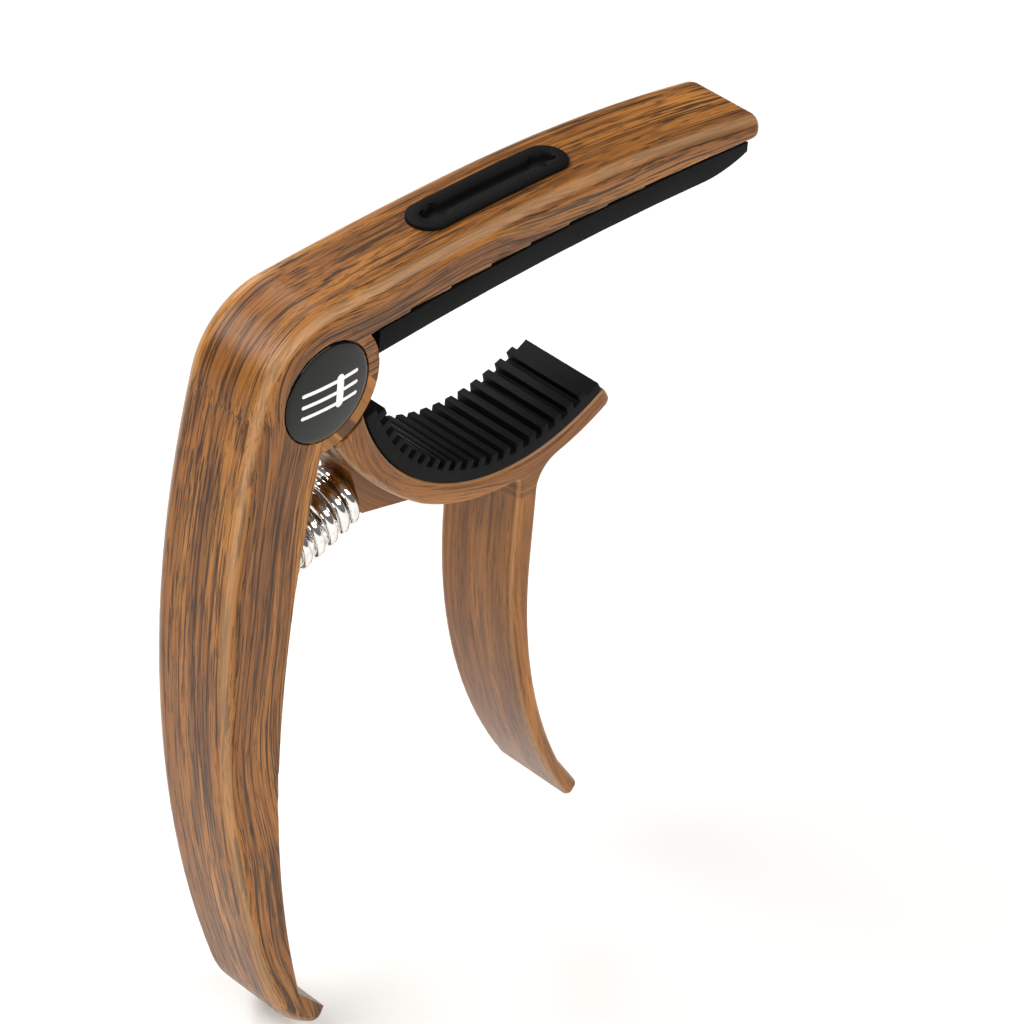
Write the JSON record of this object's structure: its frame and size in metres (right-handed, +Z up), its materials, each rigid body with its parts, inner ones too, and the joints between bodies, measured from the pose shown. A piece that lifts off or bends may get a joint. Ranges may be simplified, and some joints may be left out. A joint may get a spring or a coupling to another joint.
{
  "type": "guitar capo",
  "caption": "Spring clamp capo for a guitar: a padded bar and a ribbed cradle on two long handles, hinged with a coil spring between.",
  "frame": {"origin": "middle of the string pad's gripping face", "axes": "+Z up out of the fingerboard, +X across the neck from the hinge side to the bar's tip, +Y along the neck towards the nut"},
  "size_m": [0.0795, 0.0121, 0.1015],
  "materials": {
    "wood_film": "die cast metal under a printed wood grain film with a semi-gloss clear coat",
    "silicone": "matte black silicone",
    "steel": "turned steel",
    "plated_steel": "bright nickel plate on spring wire",
    "nylon": "plain moulded nylon",
    "badge_black": "gloss black",
    "badge_white": "white print",
    "badge_clear": "clear domed resin"
  },
  "bodies": {
    "upper": {"upper_arm": "wood_film", "string_pad": "silicone", "pick_holder": "silicone", "pivot_pin": "steel", "front_washer": "nylon", "rear_washer": "nylon", "retaining_clip": "steel", "pivot_cap": "badge_black", "badge_disc": "badge_black", "badge_mark": "badge_white", "badge_dome": "badge_clear", "spring": "plated_steel"},
    "jaw": {"lower_jaw": "wood_film", "jaw_pad": "silicone", "pivot_bush": "nylon"}
  },
  "joints": [
    {"name": "jaw_hinge", "type": "hinge", "parent": "upper", "child": "jaw", "pos_m": [-0.0363, 0, -0.0024], "axis": [0, 1, 0], "range_deg": [-24, 8], "stiffness_Nm_per_rad": 11, "deforming": ["spring"]}
  ]
}
